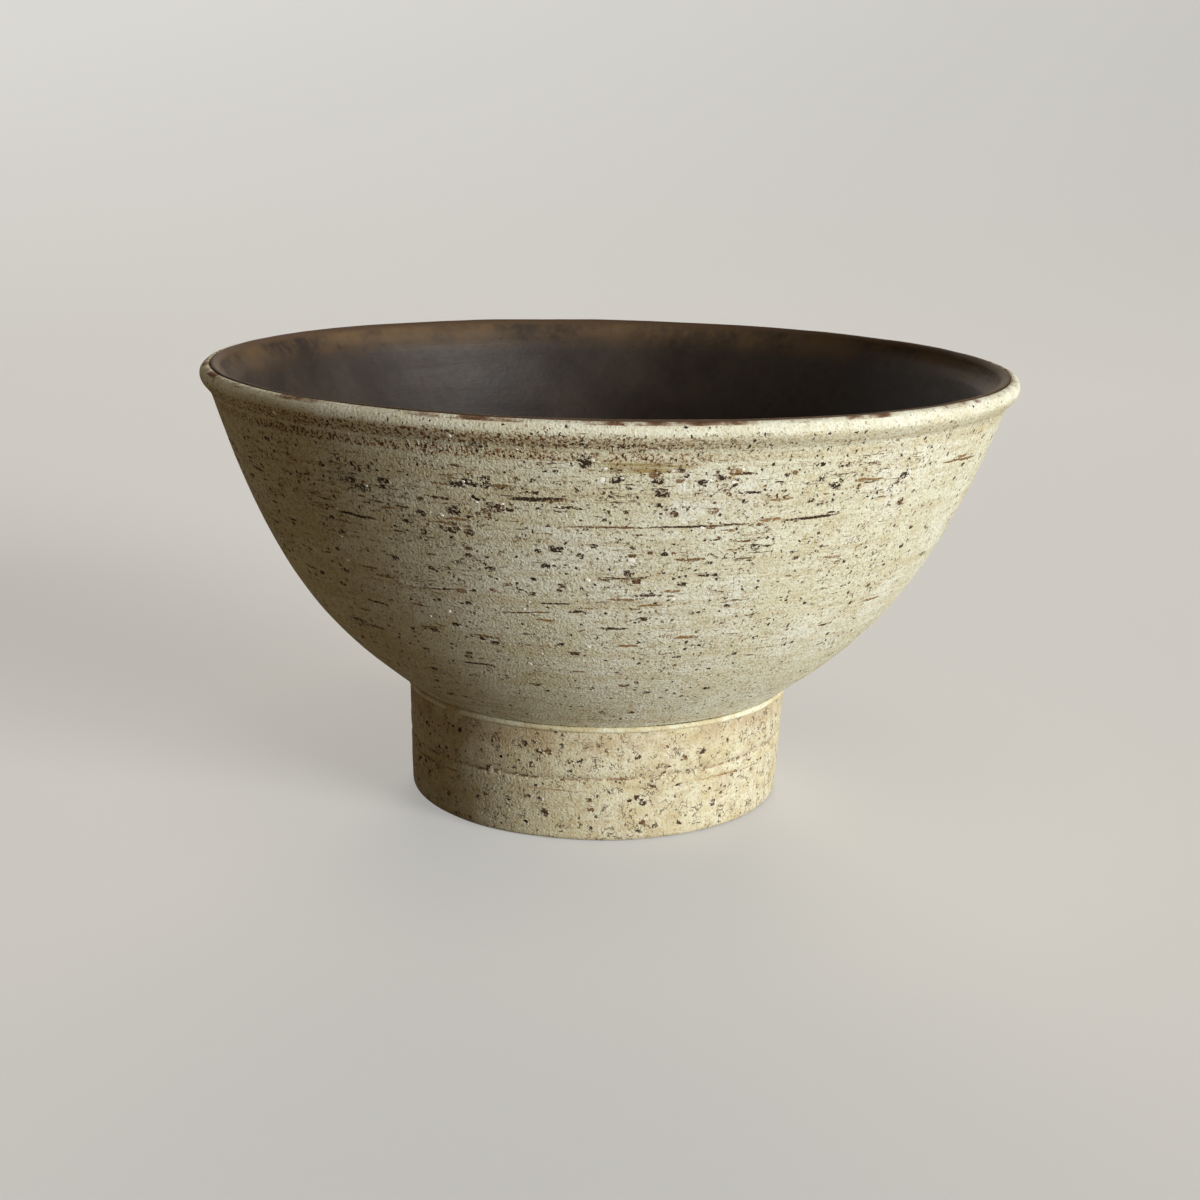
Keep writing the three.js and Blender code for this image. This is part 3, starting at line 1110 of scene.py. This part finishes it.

# %% [markdown]
# ## Where the marks are
# The marks that catch the eye are listed one by one: turn in degrees from the front, height, length, width
# and rise in millimetres, and a tone from rust to black. A blotch is a short, broad mark, so one size is
# enough.

# %% Marks listed one by one
Mark = namedtuple("Mark", "turn level length width slant tone")
Blotch = namedtuple("Blotch", "turn level size tone")
drag_lines = [
    Mark(-0.3, 90.4, 19.0, 0.7, 0.1, 0.4),
    Mark(12.0, 90.6, 25.0, 0.9, 0.3, 1.0),
    Mark(27.9, 91.2, 15.0, 0.9, 0.6, 0.9),
    Mark(21.6, 91.5, 5.2, 1.1, 0.0, 0.1),
    Mark(-9.0, 96.5, 13.5, 1.5, 0.6, 0.8),
    Mark(-13.6, 99.0, 5.4, 1.5, 0.0, 0.35),
    Mark(-36.7, 88.1, 12.0, 0.9, -0.4, 0.95),
    Mark(-27.9, 88.6, 3.4, 1.0, -0.3, 0.95),
    Mark(17.8, 98.3, 5.8, 0.8, 0.0, 0.85),
    Mark(21.8, 100.5, 2.8, 0.6, 0.0, 0.8),
    Mark(57.0, 99.6, 20.0, 0.9, -1.0, 0.3),
    Mark(35.8, 99.2, 9.0, 0.8, -0.6, 0.1),
    Mark(-8.0, 70.9, 9.0, 0.6, 0.5, 0.85),
    Mark(-13.8, 67.8, 8.4, 0.5, 0.5, 0.5),
    Mark(-4.4, 68.8, 4.0, 0.8, 0.0, 0.85),
    Mark(2.8, 77.9, 11.0, 0.5, 1.2, 0.65),
    Mark(-25.3, 72.0, 10.0, 0.5, 1.0, 0.7),
    Mark(-23.6, 51.4, 8.8, 0.8, 0.2, 0.95),
    Mark(9.1, 74.4, 4.6, 1.0, 0.0, 0.25),
    Mark(13.0, 61.7, 5.8, 1.3, 0.0, 0.2),
]
blotches = [
    Blotch(-19.4, 98.9, 2.2, 1.0),
    Blotch(-17.9, 99.6, 1.5, 1.0),
    Blotch(-16.1, 108.7, 1.5, 0.9),
    Blotch(-3.0, 105.3, 1.6, 0.95),
    Blotch(-3.2, 110.6, 1.3, 0.95),
    Blotch(-35.9, 96.9, 2.0, 1.0),
    Blotch(-34.2, 95.4, 1.9, 1.0),
    Blotch(-30.2, 97.7, 1.9, 1.0),
    Blotch(-20.5, 92.4, 1.9, 0.95),
    Blotch(-14.6, 94.4, 2.2, 0.6),
    Blotch(-7.0, 84.9, 1.8, 0.95),
    Blotch(-18.6, 87.4, 1.5, 0.9),
    Blotch(0.6, 101.3, 1.3, 0.9),
    Blotch(5.9, 101.2, 1.5, 0.95),
    Blotch(6.6, 98.4, 1.8, 1.0),
    Blotch(11.5, 100.9, 1.2, 0.8),
    Blotch(30.1, 98.9, 1.9, 1.0),
    Blotch(27.9, 100.4, 1.3, 0.9),
    Blotch(42.4, 99.0, 1.7, 0.95),
    Blotch(20.4, 85.0, 1.6, 1.0),
    Blotch(-16.6, 78.8, 1.3, 0.9),
    Blotch(-8.6, 80.5, 1.2, 0.9),
    Blotch(3.0, 79.2, 1.4, 0.9),
    Blotch(-5.0, 57.0, 1.5, 0.6),
    Blotch(15.5, 103.1, 1.5, 0.15),
]
BLOTCH_LENGTH = 1.8
BLOTCH_WIDTH = 1.6
placed = list(drag_lines)
for b in blotches:
    placed.append(Mark(b.turn, b.level, BLOTCH_LENGTH * b.size, BLOTCH_WIDTH * b.size, 0.0, b.tone))
print(len(placed), "marks placed by hand")

# %% [markdown]
# ## Scattered marks
# The many small marks are scattered from a fixed seed, so that every run gives the same bowl. They are
# thickest on the upper wall and thin out downwards, and there are few to the right of the front. Two rows of
# ticks run round under the lip, close together on the left half of the front.

# %% Marks scattered from a seed
SPARSE = 0.3
SPARSE_TURNS = (24, 100)
CLOSE_TICKS = 0.9
LOOSE_TICKS = 0.25
scatter = random.Random(41)


def between(ends, share):
    return ends[0] + (ends[1] - ends[0]) * share


def scattered_marks(count, levels, lengths, widths, tones, lean_up=1.0):
    """Marks at random turns, small ones most often, and more of them high up if lean_up is above 1."""
    marks = []
    for _ in range(count):
        height = between(levels, scatter.random() ** (1 / lean_up))
        small = scatter.random() ** 2
        turn = scatter.uniform(-180, 180)
        tone = scatter.uniform(*tones)
        kept = SPARSE if SPARSE_TURNS[0] < turn < SPARSE_TURNS[1] else 1.0
        if scatter.random() < kept:
            slant = scatter.uniform(-0.3, 0.3)
            marks.append(Mark(turn, height, between(lengths, small), between(widths, small), slant, tone))
    return marks


def tick_row(level, spacing, close_turns):
    """A row of upright ticks round the pot, close together over some turns and sparse elsewhere."""
    marks = []
    count = round(2 * math.pi * rim_radius / MM / spacing)
    for i in range(count):
        turn = -180 + 360 * (i + scatter.uniform(-0.4, 0.4)) / count
        kept = CLOSE_TICKS if close_turns[0] < turn < close_turns[1] else LOOSE_TICKS
        if scatter.random() < kept:
            tall = scatter.uniform(0.5, 1.4)
            height = level + scatter.uniform(-0.6, 0.6)
            wide = scatter.uniform(0.3, 0.6)
            tone = scatter.uniform(0.2, 0.9)
            marks.append(Mark(turn, height, wide, tall, 0.0, tone))
    return marks


iron_marks = list(placed)
iron_marks += scattered_marks(360, (46, 103), (1.6, 8.0), (0.5, 1.0), (0.0, 0.8), 1.5)
iron_marks += scattered_marks(800, (40, 104), (0.8, 2.4), (0.7, 1.9), (0.3, 1.0), 2.4)
iron_marks += scattered_marks(160, (33, 62), (0.8, 2.6), (0.7, 1.8), (0.4, 1.0))
iron_marks += scattered_marks(260, (3, 26), (0.8, 2.2), (0.8, 2.2), (0.3, 0.85))
iron_marks += tick_row(109.6, 1.4, (-70, 18)) + tick_row(106.5, 1.6, (-70, 12))
grog_grains = scattered_marks(110, (44, 111), (0.5, 1.2), (0.5, 1.3), (0.0, 0.0), 1.4)
grog_grains += [Mark(-1.1, 101.5, 1.6, 1.9, 0.0, 0.0), Mark(3.1, 82.5, 1.5, 1.7, 0.0, 0.0)]
grog_grains += [Mark(b.turn + 0.9, b.level + 0.6, 0.8, 0.8, 0.0, 0.0) for b in blotches[::3]]
print(len(iron_marks), "iron marks and", len(grog_grains), "grog grains")

# %% [markdown]
# ## Laying the marks
# Each list of marks becomes one piece. The iron lies almost flat in the slip, and the grog stands a little
# proud of it.

# %% Lay the marks
LENGTH_ROOM = 1.2
IRON_ROOM = 2.6
LEAST_TEARING = 0.4
TORN_LENGTH = 5.0
IRON_LIFT = 0.06 * MM
GROG_LIFT = 0.2 * MM
SINK = 0.04 * MM
GROG = srgb(244, 240, 228)
GROG_DULL = srgb(214, 204, 178)
slip_profile = sorted((p.y, p.x) for p in slip_shown + foot_shown)


def radius_at(height):
    """The radius of the slip at a height, from the nearest point of its section."""
    return min(slip_profile, key=lambda point: abs(point[0] - height))[1]


def mark_points(marks, spread):
    """Loose points, one for each mark, with its facts as attributes. A spread leaves room for torn edges."""
    mesh = bpy.data.meshes.new("marks")
    mesh.from_pydata([(0.0, 0.0, 0.0)] * len(marks), [], [])
    carry(mesh, {
        "mark_turn": [math.radians(m.turn) for m in marks],
        "mark_level": [m.level * MM for m in marks],
        "mark_length": [LENGTH_ROOM * m.length * MM for m in marks],
        "mark_width": [spread * m.width * MM for m in marks],
        "mark_slant": [m.slant * MM for m in marks],
        "mark_radius": [radius_at(m.level * MM) for m in marks],
        "tearing": [max(LEAST_TEARING, min(1.0, TORN_LENGTH / m.length)) for m in marks],
        "tone": [m.tone for m in marks],
    })
    return mesh


def iron_finish():
    """A torn mark: dark or ochre in the middle, then a rust fringe, then the slip's own cream."""
    pen = Finish("iron_mark", 0.05, CREAM)
    tone = pen.painted("tone")
    within = pen.painted("within")
    relief, _ = slip_ground(pen, 0.45)
    tear = pen.minus(pen.noise(pen.ragged(0.5, 0.8), 1.3, 3.0, 0.75), 0.5)
    tear = pen.times(tear, pen.ramp(within, 0.0, 0.4), pen.painted("tearing"))
    field = pen.weighted(within, (tear, 6.5))
    fringe = pen.ramp(field, 0.2, 0.55)
    heart = pen.ramp(field, 0.6, 0.78)
    dark = pen.mix(OCHRE, UMBER, pen.ramp(tone, 0.15, 0.6))
    dark = pen.mix(dark, IRON, pen.ramp(tone, 0.4, 0.9), pen.ramp(field, 0.72, 0.9))
    pen.lay(RUST, fringe, 0.55)
    pen.lay(dark, heart, 0.95)
    return pen.surface(pen.weighted(0.92, (heart, -0.1)), pen.weighted(relief, (heart, -0.15)))


def grog_finish():
    pen = Finish("grog_grain", 0.3, GROG)
    blur = pen.noise(pen.place, 1.9)
    pen.wash(GROG_DULL, blur, 0.45, 0.7)
    return pen.surface(pen.weighted(0.55, (blur, 0.3)), pen.weighted(0.0, (blur, 0.2)))


def lay_marks(name, marks, spread, lift, finish):
    piece = grow(
        name, mark_points(marks, spread), laying,
        bowl=outer_slip, foot=foot_slip, lift=lift, sink=SINK, finish=finish,
    )
    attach(piece, "root")


lay_marks("iron_marks", iron_marks, IRON_ROOM, IRON_LIFT, iron_finish())
lay_marks("grog_grains", grog_grains, 1.0, GROG_LIFT, grog_finish())
